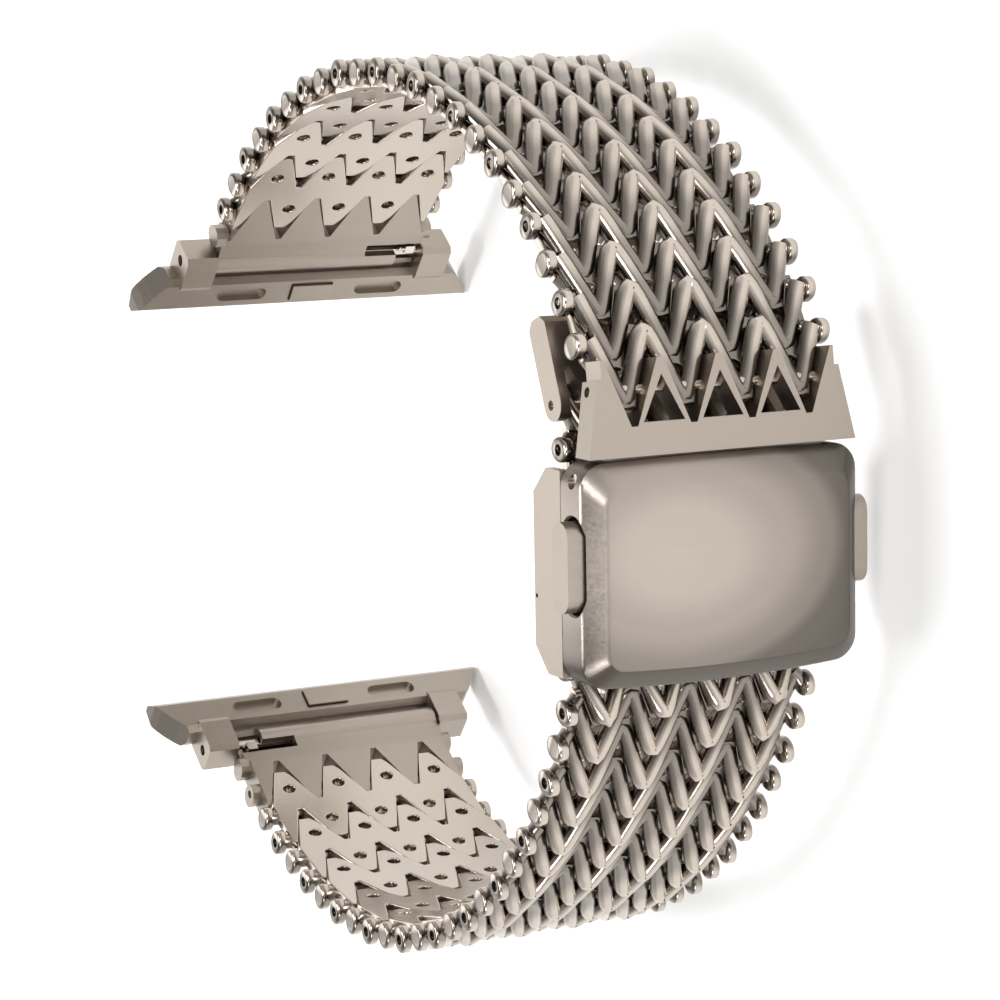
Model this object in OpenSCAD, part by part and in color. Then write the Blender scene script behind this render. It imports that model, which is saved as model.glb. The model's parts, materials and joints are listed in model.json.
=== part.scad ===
// Woven metal watch band with a box clasp and two slide-in watch adapters.
// The band stands on its side edge: X points out through the clasp's front face,
// Y runs from the lower strap to the upper strap and Z runs across the band.
// The origin is the centre of the clasp's front face.

/* [Mesh] */
// Width of the mesh between its edge stubs
mesh_w = 18.8; // [16:0.2:19]
// Number of V strands side by side in one row
v_columns = 4; // [3:1:5]
// Depth of each V along the strap
v_depth = 4.6; // [3.8:0.1:5]
// Slit between two rows, along the strap
row_slit = 0.5; // [0.45:0.05:0.6]
// Blunt width at the tip of each V
v_tip = 0.5; // [0.4:0.1:0.7]
// Thickness of the mesh
mesh_t = 2.4; // [2.2:0.1:2.5]
// Height of the raised strands above the ground inner layer
strand_h = 1.05; // [0.8:0.05:1.2]
// Slope taken off each side of a raised strand
strand_bevel = 0.4; // [0.2:0.05:0.6]
// Length of the stubs that stick out of both edges
stub_len = 0.85; // [0.5:0.05:0.9]
// Size of a stub along the strap
stub_along = 1.8; // [1.5:0.1:2]
// Size of a stub across the thickness
stub_high = 2.2; // [1.8:0.1:2.2]
// Diameter of the link pins
pin_d = 0.7; // [0.5:0.05:0.8]
// Depth of the link pins below the inner side of the middle plane
pin_sink = 0.25; // [0.15:0.05:0.35]

/* [Straps] */
// Links in the strap above the clasp
upper_links = 11; // [6:1:11]
// Links in the strap below the clasp
lower_links = 11; // [6:1:11]
// Distance from one row of V strands to the next above the clasp
upper_row = 3.34; // [3:0.02:3.6]
// Distance from one row of V strands to the next below the clasp
lower_row = 3.06; // [3:0.02:3.6]
// Turn from one upper link to the next, in degrees
upper_turn = 9.9; // [6:0.1:10]
// Turn from one lower link to the next, in degrees
lower_turn = 9.25; // [6:0.05:10]
// Lean of the upper end piece behind the clasp's plane, in degrees
end_piece_lean = 7; // [5:0.5:9]
// Turn from the upper end piece to the first upper link, in degrees
upper_first_turn = 24; // [18:0.5:26]
// Turn from the straight run in the clasp to the first lower link, in degrees
lower_first_turn = 26.5; // [20:0.5:28]
// Turn of the short link above the clasp, in degrees
tail_turn = 12; // [10:0.5:14]
// Further turn of the end cap, in degrees
cap_turn = 10; // [8:0.5:12]
// Length of the end cap from its pin to its top
cap_len = 6.2; // [5.4:0.1:6.4]

/* [Clasp] */
// Distance from the mesh's stubs to the clasp's side
clasp_side = 0.95; // [0.9:0.05:1.6]
// Height of the clasp along the band
clasp_h = 16; // [15.6:0.1:17]
// Depth of the front cover
cover_d = 4.3; // [4.2:0.1:5]
// Depth of the bevels around the front face
bevel_d = 1.2; // [0.8:0.1:1.3]
// Width of the top and bottom bevels
bevel_y = 2; // [1.4:0.1:2.2]
// Width of the side bevels
bevel_z = 1.45; // [1:0.05:1.6]
// Radius of the cover's corners
cover_corner_r = 1.8; // [1:0.1:2.4]
// Thickness of the cover's front wall
front_wall = 1.1; // [0.9:0.1:1.2]
// Thickness of the cover's side walls
side_wall = 1.3; // [1.1:0.1:1.5]
// Height of the strap channel's side plates
base_h = 14.4; // [13.8:0.1:14.6]
// Thickness of the channel's floor and deck
base_plate_t = 0.55; // [0.5:0.05:0.6]
// Corner cut off the channel's side plates
base_cut = 1.8; // [1.2:0.1:2]
// Gap between the mesh and the channel around it
channel_gap = 0.15; // [0.12:0.01:0.2]

/* [Buttons] */
// Distance from a button's flange to the end of its pocket in the cover
button_end_gap = 0.15; // [0.15:0.05:0.45]
// Width of a push button
button_w = 2.2; // [1.9:0.1:2.2]
// Height of a button above the clasp's side
button_out = 1; // [0.8:0.1:1.2]

/* [Adapters] */
// Width of an adapter tongue at its deep edge
tongue_w = 32.2; // [31:0.2:34]
// Width of an adapter tongue at its strap edge
tongue_inner_w = 27; // [26.6:0.2:28.4]
// Depth of an adapter tongue
tongue_d = 3.9; // [3.8:0.05:4.6]
// Thickness of an adapter tongue
tongue_t = 2.7; // [2.4:0.1:3]
// Distance between the two ears of an adapter
ear_gap = 19.7; // [19.5:0.1:20]
// Thickness of each ear along the spring bar
ear_t = 2.8; // [2.4:0.1:3.4]
// Height of each ear across the band's thickness
ear_h = 3.2; // [2.8:0.1:3.4]
// Distance from the last link pin to the spring bar
bar_reach = 5.7; // [5.6:0.1:6.6]
// Diameter of the barrel at the end of each strap
barrel_d = 2.6; // [2.4:0.1:2.8]
// Diameter of the spring bar's body
spring_bar_d = 1.44; // [1.3:0.02:1.5]
// Diameter of the spring bar's tips
tip_d = 0.9; // [0.8:0.05:0.95]
// Travel of the quick-release knob
release_travel = 1.9; // [1.86:0.02:2]
// Travel of the lock catch
catch_travel = 0.3; // [0.2:0.05:0.35]

/* [Hidden] */
channel_links = 3;

// General values
$fn = 48;
cut = 0.2;            // overlap of a cutting shape past the face that it cuts
weld = 0.3;           // overlap of two shapes that form one piece
press_gap = 0.01;     // radial clearance of a pin pressed into its own piece
run_gap = 0.04;       // radial clearance of a pin in a piece that turns on it
slide_gap = 0.1;      // clearance beside a piece that slides in another
satin = [0.69, 0.64, 0.58];
bright = [0.82, 0.78, 0.73];
shade = [0.46, 0.42, 0.37];
magnet_grey = [0.35, 0.35, 0.37];

// Mesh values
edge_z = mesh_w / 2;
stub_z = edge_z + stub_len;
column_step = mesh_w / (2 * v_columns);
pin_n = -pin_sink;
pin_recess = 0.35;
slot_w = 0.95;
slot_l = 1.1;
stub_sides = 12;

// Clasp values, along X from the front face
base_front_x = -cover_d;
channel_x = base_front_x - base_plate_t - channel_gap - mesh_t / 2;
base_back_x = channel_x - mesh_t / 2 - channel_gap - base_plate_t;
base_wall = 0.7;
clasp_w = 2 * (stub_z + clasp_side);
half_w = clasp_w / 2;
half_h = clasp_h / 2;
magnet_pocket = [2, 2.6, 17.2];
magnet_pocket_low_y = -half_h + 1.3;
magnet_gap = 0.05;
hinge_x = -2.75;
hinge_y = half_h - 1.4;
hinge_pin_d = 1;
knuckle_d = 2.1;
slot_half_z = edge_z - 0.4;
slot_front_x = -1.6;
slot_floor_y = hinge_y - knuckle_d / 2 - slide_gap;
cavity_top_y = slot_floor_y - 0.85;
cavity_low_y = magnet_pocket_low_y + magnet_pocket.y + 0.4;
end_piece_t = 2;
end_piece_low_y = half_h + 0.2;
wing_top_z = edge_z + 0.35;
wing_low_z = edge_z + 1.5;
wing_slope = v_depth / 2 + 1;
finger_arm = 0.52;
window_base_s = v_depth / 2;
window_tip_s = row_slit / 2 - v_depth / 2 + finger_arm * norm([v_depth, column_step]) / column_step;
window_half = (window_base_s - window_tip_s) * column_step / v_depth;
stem_x = [-0.95, 0.45];
upper_start = [-2.7, end_piece_low_y + 4.4];
channel_bottom_y = -half_h - 2;

// Button values
button_x = -2.65;
button_y = 0.8;
flange_t = 0.8;
flange_x = [-cover_d + 0.15, -front_wall - 0.15];
flange_margin = 0.5;
button_l = 2 * (cavity_top_y - button_end_gap - flange_margin - button_y);
arm_t = 0.6;
arm_offset = 1.5;
arm_x = [-cover_d + 0.15, -3.1];
crossbar_z = [6.1, 6.8];
seat_z = [5.5, 6.1];
seat_half_y = 1;
seat_front_x = -2;
rib_half_z = 3;
rib_half_y = 1.6;
spring_r = 0.8;
spring_wall = 0.25;
spring_x = -3.05;
lug_z = [7.5, 8.1];
nose_z = 6.4;
lug_half_y = 1.2;
nose_x = [-2.9, -2.3];

// Lock lever values
lever_y = -1.9;
lever_top_y = 5.3;
lever_half_z = 8;
lever_pin_d = 0.3;
lever_x = base_back_x + base_plate_t / 2;
lever_pin_in = 6.5;
lever_pin_end = 0.3;

// Magnet values
cap_magnet = [2, 1.1, 15];
cap_magnet_s = -cap_len + mesh_t / 2;
base_magnet_t = 0.3;
base_magnet_low_y = magnet_pocket_low_y + 1;

// Adapter values, along s away from the last link pin
bar_t = 2;
bar_half_z = ear_gap / 2 - 0.15;
bar_start_s = v_depth / 2 + row_slit;
tongue_s = bar_reach + barrel_d / 2 + 0.25;
tongue_bow = 1.6;
tongue_bow_points = 5;
ear_back = 1.25;
ear_bevel = 0.4;
bar_stub_s = bar_start_s + 0.2;
knob_z = [8.15, 9.05];
knob_s = [-1.5, -0.7];
knob_n = [-1.2, 0.2];
knob_neck_n = -0.35;
knob_slot = [-1.65, -0.55];
knob_slot_n = 0.3;
knob_slot_z = [knob_z[0] - 2 * release_travel, knob_z[1] + 0.2];
window_z = 7.4;
bar_split_z = 1;
collar_z = [3.4, 4.2];
tip_past = 1.85;
catch_s = tongue_s + 0.42 * tongue_d;
recess_z = 6.6;
recess_l = 4.6;
recess_w = 1.3;
recess_d = 0.5;
catch_size = [1.7, 3.8];
catch_depth = 1.65;
catch_out = 0.25;
catch_t = 1.2;

function two_digits(k) = k < 10 ? str("0", k) : str(k);
function heading(a) = [cos(a), sin(a)];

// Point after k steps of equal length from start, turning by turn at each step
function run_point(start, first, turn, step, k) =
    k == 0 ? start : run_point(start, first, turn, step, k - 1) + step * heading(first + (k - 1) * turn);

// Directions of the straps and places of their link pins
end_piece_angle = 90 + end_piece_lean;
upper_first = end_piece_angle + upper_first_turn;
lower_start = [channel_x - pin_sink, channel_bottom_y];
lower_first = 270 - lower_first_turn;
upper_end = upper_point(upper_links);
lower_end = lower_point(lower_links);
upper_end_angle = upper_first + upper_links * upper_turn;
lower_end_angle = lower_first - lower_links * lower_turn;
channel_top = lower_start + [0, channel_links * 2 * lower_row];
tail_angle = 90 + tail_turn;
cap_angle = tail_angle + cap_turn;
cap_start = channel_top + lower_row * heading(tail_angle);
exit_y = channel_top.y - v_depth / 2 - slide_gap;
function upper_point(k) = run_point(upper_start, upper_first, upper_turn, 2 * upper_row, k);
function lower_point(k) = run_point(lower_start, lower_first, -lower_turn, 2 * lower_row, k);

// Zigzag of one slit between rows: tips at even columns point back along the strap
function zigzag(shift, flip = 1) = [
    for (i = [0 : 2 * v_columns], side = [-1, 1])
        let (
            z = -edge_z + i * column_step + side * v_tip / 2,
            s = (i % 2 == 0 ? -1 : 1) * flip * v_depth / 2
        )
        if (abs(z) < edge_z) [s + shift, z]
];
function edge_point(shift, side, flip = 1) = [[shift - flip * v_depth / 2, side * edge_z]];
function slit_line(shift, flip = 1) =
    concat(edge_point(shift, -1, flip), zigzag(shift, flip), edge_point(shift, 1, flip));
function reversed(list) = [for (i = [len(list) - 1 : -1 : 0]) list[i]];

// Flat shape drawn along the strap and across the band, made solid between two heights
module layer(low, high) {
    translate([0, high, 0])
        rotate([90, 0, 0])
            linear_extrude(high - low)
                children();
}

// Profile drawn along the strap and through its thickness, made solid between two widths
module across(low, high) {
    translate([0, 0, low])
        linear_extrude(high - low)
            children();
}

module band_shape(from, to) {
    polygon(concat(slit_line(from), reversed(slit_line(to))));
}

// Stands a piece's pin at a point of the chain, with the mesh level a little outside it
module placed(p, angle) {
    translate([p.x, p.y, 0])
        rotate(angle)
            translate([0, pin_sink, 0])
                children();
}

// Box between two corners
module block(low, high) {
    translate(low)
        cube(high - low);
}

module cross_rod(s, n, d, z_low, z_high) {
    translate([s, n, z_low])
        cylinder(d = d, h = z_high - z_low);
}

module stub_shape() {
    polygon([for (i = [0 : stub_sides - 1])
        [stub_along / 2 * cos(i * 360 / stub_sides), stub_high / 2 * sin(i * 360 / stub_sides)]]);
}

module edge_stubs(s) {
    for (side = [0, 1])
        mirror([0, 0, side])
            translate([s, 0, edge_z - weld])
                linear_extrude(stub_len + weld)
                    stub_shape();
}

// One row of V strands on the outer side
module strand_row(s, row) {
    half_slit = row_slit / 2;
    top = mesh_t / 2;
    layer(top - strand_h - weld, top - strand_bevel)
        band_shape(s + half_slit, s + row - half_slit);
    layer(top - strand_h, top)
        band_shape(s + half_slit + strand_bevel, s + row - half_slit - strand_bevel);
}

// Slot through the inner layer at one tip of a V
module tip_slot(s, column) {
    tip = (column % 2 == 0 ? -1 : 1) * v_depth / 2;
    z = -edge_z + column * column_step;
    block([s + tip - slot_w / 2, -mesh_t, z - slot_l / 2], [s + tip + slot_w / 2, mesh_t, z + slot_l / 2]);
}

// A link of the mesh with its first pin line at the origin, running along +X
module mesh_link(row, rows = 2, rings = true) {
    length = rows * row;
    difference() {
        union() {
            layer(-mesh_t / 2, mesh_t / 2 - strand_h)
                band_shape(row_slit / 2, length - row_slit / 2);
            for (k = [0 : rows - 1])
                strand_row(k * row, row);
            for (k = [(rings ? 0 : 1) : 1 : rows - 1])
                edge_stubs(k * row);
        }
        for (k = [1 : 1 : rows - 1], column = [1 : 2 * v_columns - 1])
            tip_slot(k * row, column);
        cross_rod(0, pin_n, pin_d + 2 * (rings ? press_gap : run_gap), -stub_z - cut, stub_z + cut);
        cross_rod(length, pin_n, pin_d + 2 * run_gap, -stub_z, stub_z);
    }
}

module link_pin(half_length = stub_z - pin_recess) {
    cross_rod(0, pin_n, pin_d, -half_length, half_length);
}

module linked(row) {
    color(satin)
        mesh_link(row);
    color(shade)
        link_pin();
}

module upper_link(k) {
    placed(upper_point(k), upper_first + (k - 1) * upper_turn + 180)
        linked(upper_row);
}

module lower_link(k) {
    placed(lower_point(k - 1), lower_first - (k - 1) * lower_turn)
        linked(lower_row);
}

module channel_link(k) {
    placed(channel_top - [0, (k - 1) * 2 * lower_row], -90)
        linked(lower_row);
}

module at_cap() {
    placed(cap_start, cap_angle + 180)
        children();
}

// Short link of one row above the clasp
module tail_link() {
    color(satin)
        placed(cap_start, tail_angle + 180)
            mesh_link(lower_row, rows = 1, rings = false);
}

// Profile of the end cap: rounded at the pin, bevelled at the top
module cap_profile() {
    half = mesh_t / 2;
    bevel = half / 2;
    polygon([
        [-v_depth / 2, -half], [-v_depth / 2, half],
        [-cap_len + bevel, half], [-cap_len, half - bevel],
        [-cap_len, -half + bevel], [-cap_len + bevel, -half]
    ]);
}

// End cap with fingers into the tail link and a cheek on each side
module tail_cap() {
    finger_s = -v_depth / 2 - weld;
    color(satin)
        at_cap()
            difference() {
                union() {
                    across(-stub_z, stub_z)
                        cap_profile();
                    layer(-mesh_t / 2, mesh_t / 2)
                        polygon(concat(
                            slit_line(-row_slit / 2),
                            [[finger_s - row_slit, edge_z], [finger_s - row_slit, -edge_z]]
                        ));
                    for (side = [0, 1])
                        mirror([0, 0, side])
                            across(edge_z + slide_gap, stub_z) {
                                circle(d = mesh_t);
                                translate([finger_s, -mesh_t / 2])
                                    square([-finger_s, mesh_t]);
                            }
                }
                cross_rod(0, pin_n, pin_d + 2 * press_gap, -stub_z - cut, stub_z + cut);
                cap_magnet_block(press_gap, cut);
            }
}

// The magnet's block in the outer face of the cap, or its pocket when grown
module cap_magnet_block(gap, over) {
    half = mesh_t / 2;
    block(
        [cap_magnet_s - gap, half - cap_magnet.y - gap, -cap_magnet.z / 2 - gap],
        [cap_magnet_s + cap_magnet.x + gap, half + over, cap_magnet.z / 2 + gap]
    );
}

module tail_cap_pin() {
    color(shade)
        at_cap()
            link_pin();
}

module tail_magnet() {
    color(magnet_grey)
        at_cap()
            cap_magnet_block(0, -magnet_gap);
}

module at_upper_start() {
    placed(upper_start, end_piece_angle + 180)
        children();
}

// Triangular wing beside the fingers, with its slanted outer side
module end_piece_wing(reach) {
    polygon([
        [-pin_d, edge_z - weld], [-pin_d, wing_top_z],
        [reach, wing_low_z], [reach, edge_z - wing_slope],
        [wing_slope, edge_z - weld]
    ]);
}

// Three-cornered windows that leave two narrow arms of each full finger
module finger_windows() {
    layer(-end_piece_t / 2 - cut, end_piece_t / 2 + cut)
        for (k = [2 : 2 : 2 * v_columns - 2])
            translate([0, k * column_step - edge_z])
                polygon([[window_tip_s, 0], [window_base_s, -window_half], [window_base_s, window_half]]);
}

// Bar on top of the clasp with fingers into the first upper link
module upper_end_piece() {
    reach = upper_start.y - end_piece_low_y + end_piece_t / 2;
    color(satin)
        difference() {
            union() {
                intersection() {
                    at_upper_start()
                        layer(-end_piece_t / 2, end_piece_t / 2) {
                            polygon(concat(
                                slit_line(row_slit / 2),
                                [[reach, edge_z], [reach, -edge_z]]
                            ));
                            for (side = [0, 1])
                                mirror([0, side, 0])
                                    end_piece_wing(reach);
                        }
                    block([-2 * cover_d, end_piece_low_y, -clasp_w], [cover_d, 2 * clasp_h, clasp_w]);
                }
                across(-slot_half_z + slide_gap, slot_half_z - slide_gap)
                    translate([hinge_x, hinge_y]) {
                        circle(d = knuckle_d);
                        translate([stem_x[0], 0])
                            square([stem_x[1] - stem_x[0], end_piece_low_y - hinge_y + weld]);
                    }
            }
            at_upper_start() {
                cross_rod(0, pin_n, pin_d + 2 * press_gap, -clasp_w, clasp_w);
                finger_windows();
            }
            cross_rod(hinge_x, hinge_y, hinge_pin_d + 2 * run_gap, -clasp_w, clasp_w);
        }
}

module upper_mesh_pin() {
    color(shade)
        at_upper_start()
            link_pin(wing_top_z - pin_recess);
}

module end_piece_hinge_pin() {
    color(shade)
        cross_rod(hinge_x, hinge_y, hinge_pin_d, -half_w + pin_recess, half_w - pin_recess);
}

// Outer form of the cover: rounded corners and four bevels around the front face
module cover_form() {
    corner = cover_corner_r;
    intersection() {
        rotate([0, -90, 0])
            linear_extrude(cover_d)
                union() {
                    square([clasp_w, clasp_h - 2 * corner], center = true);
                    square([clasp_w - 2 * corner, clasp_h], center = true);
                    for (z = [-1, 1], y = [-1, 1])
                        translate([z * (half_w - corner), y * (half_h - corner)])
                            circle(r = corner);
                }
        across(-clasp_w, clasp_w)
            polygon([
                [-cover_d - cut, -half_h - cut], [-bevel_d, -half_h - cut], [-bevel_d, -half_h],
                [0, -half_h + bevel_y], [0, half_h - bevel_y],
                [-bevel_d, half_h], [-bevel_d, half_h + cut], [-cover_d - cut, half_h + cut]
            ]);
        layer(-clasp_h, clasp_h)
            polygon([
                [-cover_d - cut, -half_w - cut], [-bevel_d, -half_w - cut], [-bevel_d, -half_w],
                [0, -half_w + bevel_z], [0, half_w - bevel_z],
                [-bevel_d, half_w], [-bevel_d, half_w + cut], [-cover_d - cut, half_w + cut]
            ]);
    }
}

module obround(length, width) {
    square([width, length - width], center = true);
    for (end = [-1, 1])
        translate([0, end * (length - width) / 2])
            circle(d = width);
}

module button_opening() {
    across(-clasp_w, clasp_w)
        translate([button_x, button_y])
            obround(button_l + 2 * slide_gap, button_w + 2 * slide_gap);
}

module clasp_cover() {
    back = -cover_d - cut;
    cavity_z = half_w - side_wall;
    color(satin)
        difference() {
            cover_form();
            difference() {
                block([back, cavity_low_y, -cavity_z], [-front_wall, cavity_top_y, cavity_z]);
                block([back, button_y - rib_half_y, -rib_half_z], [0, button_y + rib_half_y, rib_half_z]);
            }
            block(
                [back, magnet_pocket_low_y, -magnet_pocket.z / 2],
                [-cover_d + magnet_pocket.x, magnet_pocket_low_y + magnet_pocket.y, magnet_pocket.z / 2]
            );
            block([back, slot_floor_y, -slot_half_z], [slot_front_x, clasp_h, slot_half_z]);
            button_opening();
            cross_rod(hinge_x, hinge_y, hinge_pin_d + 2 * press_gap, -clasp_w, clasp_w);
        }
}

// Two magnets side by side behind the front face
module cover_magnets() {
    low_y = magnet_pocket_low_y + press_gap;
    color(magnet_grey)
        for (side = [0, 1])
            mirror([0, 0, side])
                block(
                    [-cover_d + magnet_gap, low_y, cut],
                    [
                        -cover_d + magnet_pocket.x - press_gap,
                        low_y + magnet_pocket.y - 2 * press_gap,
                        magnet_pocket.z / 2 - press_gap
                    ]
                );
}

module base_magnet_blocks(gap, over) {
    for (side = [0, 1])
        mirror([0, 0, side])
            block(
                [base_front_x - base_magnet_t - gap, base_magnet_low_y - gap, cut - gap],
                [base_front_x + over, magnet_pocket_low_y + magnet_pocket.y + gap, magnet_pocket.z / 2 + gap]
            );
}

module base_magnets() {
    color(magnet_grey)
        base_magnet_blocks(0, -magnet_gap);
}

// Side profile of the strap channel with its two cut corners
module base_profile() {
    top = base_h / 2;
    polygon([
        [base_front_x, -top], [base_front_x, top],
        [base_back_x + base_cut, top], [base_back_x, top - base_cut],
        [base_back_x, -top + base_cut], [base_back_x + base_cut, -top]
    ]);
}

module clasp_base() {
    inner_z = half_w - base_wall;
    color(satin)
        difference() {
            union() {
                difference() {
                    across(-half_w, half_w)
                        base_profile();
                    block(
                        [base_back_x + base_plate_t, -clasp_h, -inner_z],
                        [base_front_x - base_plate_t, clasp_h, inner_z]
                    );
                }
                for (side = [0, 1])
                    mirror([0, 0, side])
                        catch_lug();
            }
            base_magnet_blocks(press_gap, cut);
            block([base_front_x - base_plate_t - cut, exit_y, -inner_z], [base_front_x + cut, clasp_h, inner_z]);
            block(
                [base_back_x - cut, lever_y - base_plate_t / 2 - slide_gap, -lever_half_z - slide_gap],
                [base_back_x + base_plate_t + cut, lever_top_y + slide_gap, lever_half_z + slide_gap]
            );
            cross_rod(lever_x, lever_y, lever_pin_d + 2 * press_gap, -half_w - cut, half_w + cut);
        }
}

// Lug on the deck that a button's crossbar holds by its nose
module catch_lug() {
    low_y = button_y - lug_half_y;
    high_y = button_y + lug_half_y;
    block([base_front_x - base_plate_t, low_y, lug_z[0]], [nose_x[1], high_y, lug_z[1]]);
    block([nose_x[0], low_y, nose_z], [nose_x[1], high_y, lug_z[1]]);
}

// Left button, with its flange, two arms, crossbar and spring seat
module button_solid() {
    wall_z = half_w - side_wall;
    flange_half_y = button_l / 2 + flange_margin;
    across(wall_z - flange_t, half_w + button_out)
        translate([button_x, button_y])
            obround(button_l, button_w);
    block(
        [flange_x[0], button_y - flange_half_y, wall_z - flange_t - slide_gap],
        [flange_x[1], button_y + flange_half_y, wall_z - slide_gap]
    );
    for (side = [-1, 1])
        translate([0, button_y + side * (arm_offset + arm_t / 2), 0])
            block([arm_x[0], -arm_t / 2, crossbar_z[0]], [arm_x[1], arm_t / 2, wall_z - flange_t]);
    block(
        [arm_x[0], button_y - arm_offset - arm_t, crossbar_z[0]],
        [arm_x[1], button_y + arm_offset + arm_t, crossbar_z[1]]
    );
    block(
        [arm_x[0], button_y - seat_half_y, seat_z[0]],
        [seat_front_x, button_y + seat_half_y, seat_z[1]]
    );
}

module button(side) {
    color(satin)
        mirror([0, 0, side])
            button_solid();
}

module ring_rod(outer_r, inner_r, z_low, z_high) {
    difference() {
        translate([0, 0, z_low])
            cylinder(r = outer_r, h = z_high - z_low);
        translate([0, 0, z_low - cut])
            cylinder(r = inner_r, h = z_high - z_low + 2 * cut);
    }
}

module button_spring(side) {
    color(bright)
        mirror([0, 0, side])
            translate([spring_x, button_y, 0])
                ring_rod(spring_r, spring_r - spring_wall, rib_half_z, seat_z[0]);
}

// Flap in the channel's floor that presses on the mesh
module lock_lever() {
    color(satin)
        difference() {
            across(-lever_half_z, lever_half_z)
                union() {
                    translate([lever_x, lever_y])
                        circle(d = base_plate_t);
                    translate([base_back_x, lever_y])
                        square([base_plate_t, lever_top_y - lever_y]);
                }
            cross_rod(lever_x, lever_y, lever_pin_d + 2 * run_gap, -half_w, half_w);
        }
}

module lever_pins() {
    color(shade)
        for (side = [0, 1])
            mirror([0, 0, side])
                cross_rod(lever_x, lever_y, lever_pin_d, lever_pin_in, half_w - lever_pin_end);
}

// Places an adapter's pieces at the end of a strap; the upper set is turned over
module at_lower_end() {
    placed(lower_end, lower_end_angle)
        children();
}

module at_upper_end() {
    mirror([0, 0, 1])
        mirror([0, 1, 0])
            placed([upper_end.x, -upper_end.y], -upper_end_angle)
                children();
}

// End bar of a strap: fingers into the mesh, a flat bar and the spring bar's barrel
module end_bar(flip, rings) {
    bore_d = spring_bar_d + 2 * run_gap;
    color(satin)
        difference() {
            union() {
                layer(-mesh_t / 2, mesh_t / 2)
                    polygon(concat(
                        slit_line(row_slit / 2, flip),
                        [[bar_start_s + weld, edge_z], [bar_start_s + weld, -edge_z]]
                    ));
                layer(-bar_t / 2, bar_t / 2)
                    polygon([
                        [bar_start_s, -bar_half_z], [bar_reach, -bar_half_z],
                        [bar_reach, bar_half_z], [bar_start_s, bar_half_z]
                    ]);
                across(-bar_half_z, bar_half_z)
                    translate([bar_reach, 0])
                        circle(d = barrel_d);
                edge_stubs(bar_stub_s);
                if (rings)
                    edge_stubs(0);
            }
            cross_rod(0, pin_n, pin_d + 2 * (rings ? press_gap : run_gap), -stub_z - cut, stub_z + cut);
            cross_rod(bar_reach, 0, bore_d, -bar_half_z - cut, bar_half_z + cut);
            block(
                [bar_reach + knob_slot[0], -barrel_d, knob_slot_z[0]],
                [bar_reach + knob_slot[1], knob_slot_n, knob_slot_z[1]]
            );
            block(
                [bar_reach + knob_slot[0], -barrel_d, window_z],
                [bar_reach + barrel_d, -knob_slot_n, bar_half_z + cut]
            );
        }
}

// Fixed half of the spring bar, with one tip in an ear
module spring_bar() {
    color(bright) {
        cross_rod(bar_reach, 0, spring_bar_d, -bar_half_z, bar_split_z);
        cross_rod(bar_reach, 0, tip_d, -ear_gap / 2 - tip_past, -bar_half_z + weld);
    }
}

// Sliding half of the spring bar with its knob
module release_pin() {
    color(bright) {
        cross_rod(bar_reach, 0, spring_bar_d, collar_z[0], collar_z[1]);
        cross_rod(bar_reach, 0, tip_d, collar_z[0], ear_gap / 2 + tip_past);
        block([bar_reach + knob_s[0], knob_n[0], knob_z[0]], [bar_reach + knob_s[1], knob_n[1], knob_z[1]]);
        block([bar_reach + knob_s[0], knob_neck_n, knob_z[0]], [bar_reach, knob_n[1], knob_z[1]]);
    }
}

module release_spring() {
    outer_r = spring_bar_d / 2 - 0.02;
    color(bright)
        translate([bar_reach, 0, 0])
            ring_rod(outer_r, outer_r - spring_wall, bar_split_z, collar_z[0]);
}

// Plan of the tongue: its ends widen in a bow towards the deep edge
module tongue_plan() {
    function side_point(t) = [
        tongue_s + t * tongue_d,
        tongue_inner_w / 2 + (tongue_w - tongue_inner_w) / 2 * t + tongue_bow * t * (1 - t)
    ];
    side = [for (i = [0 : tongue_bow_points]) side_point(i / tongue_bow_points)];
    polygon(concat(side, [for (p = reversed(side)) [p.x, -p.y]]));
}

module tongue_profile() {
    half = tongue_t / 2;
    bevel = half / 2;
    deep = tongue_s + tongue_d;
    polygon([
        [tongue_s, -half + bevel], [tongue_s + bevel / 2, -half], [deep - bevel * 1.5, -half],
        [deep, -bevel / 2], [deep, bevel / 2],
        [deep - bevel * 1.5, half], [tongue_s + bevel / 2, half], [tongue_s, half - bevel]
    ]);
}

module ear_profile() {
    back = bar_reach - ear_back;
    front = tongue_s + weld;
    half = ear_h / 2;
    polygon([
        [back + ear_bevel, -half], [front, -half], [front + half, -half + ear_h / 4],
        [front + half, half - ear_h / 4], [front, half], [back + ear_bevel, half],
        [back, half - ear_bevel], [back, -half + ear_bevel]
    ]);
}

module adapter() {
    color(satin)
        difference() {
            union() {
                intersection() {
                    layer(-tongue_t, tongue_t)
                        tongue_plan();
                    across(-tongue_w, tongue_w)
                        tongue_profile();
                }
                for (side = [0, 1])
                    mirror([0, 0, side])
                        across(ear_gap / 2, ear_gap / 2 + ear_t)
                            ear_profile();
            }
            cross_rod(bar_reach, 0, tip_d + 2 * run_gap, -tongue_w, tongue_w);
            for (side = [-1, 1])
                layer(-tongue_t, -tongue_t / 2 + recess_d)
                    translate([catch_s, side * recess_z])
                        obround(recess_l, recess_w);
            block(
                [catch_s - catch_size.x / 2 - slide_gap, -tongue_t, -catch_size.y / 2 - slide_gap],
                [catch_s + catch_size.x / 2 + slide_gap, -tongue_t / 2 + catch_depth, catch_size.y / 2 + slide_gap]
            );
        }
}

module lock_catch() {
    low = -tongue_t / 2 - catch_out;
    color(bright)
        block(
            [catch_s - catch_size.x / 2, low, -catch_size.y / 2],
            [catch_s + catch_size.x / 2, low + catch_t, catch_size.y / 2]
        );
}

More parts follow.
